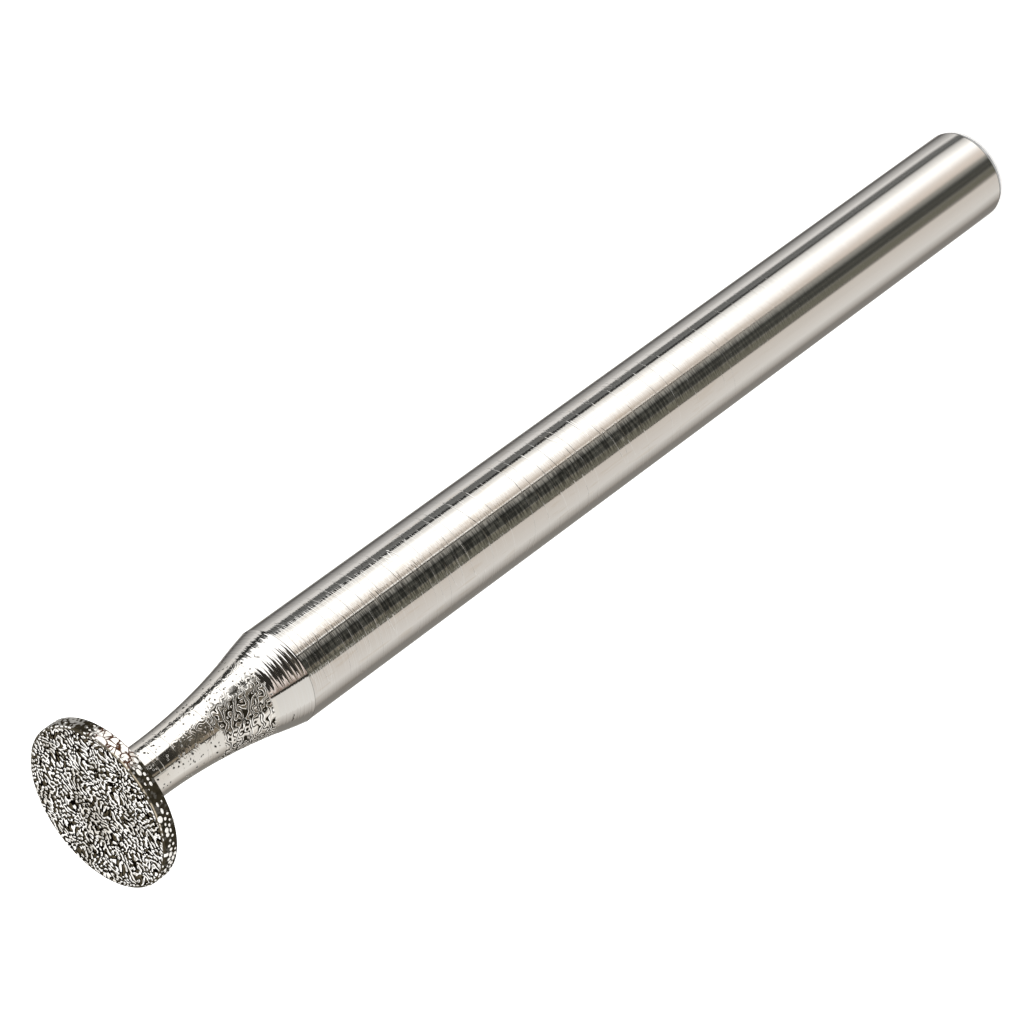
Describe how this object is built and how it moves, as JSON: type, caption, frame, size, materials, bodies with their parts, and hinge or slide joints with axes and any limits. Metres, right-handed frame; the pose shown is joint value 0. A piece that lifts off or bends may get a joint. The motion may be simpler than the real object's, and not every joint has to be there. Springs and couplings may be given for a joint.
{
  "type": "dental bur",
  "caption": "Straight-shank wheel bur: a thin grit-plated disc head on a slim flared neck, with fine turned rings on the shoulder.",
  "frame": {"origin": "centre of the flat end face of the shank", "axes": "+Z along the shank's axis, towards the head"},
  "size_m": [0.0051, 0.005, 0.039],
  "materials": {
    "polished_steel": "polished lengthwise, with fine turning marks around",
    "diamond_grit": "coarse grit held in bright nickel plating"
  },
  "bodies": {
    "root": {"wheel_bur": "polished_steel"}
  },
  "joints": []
}
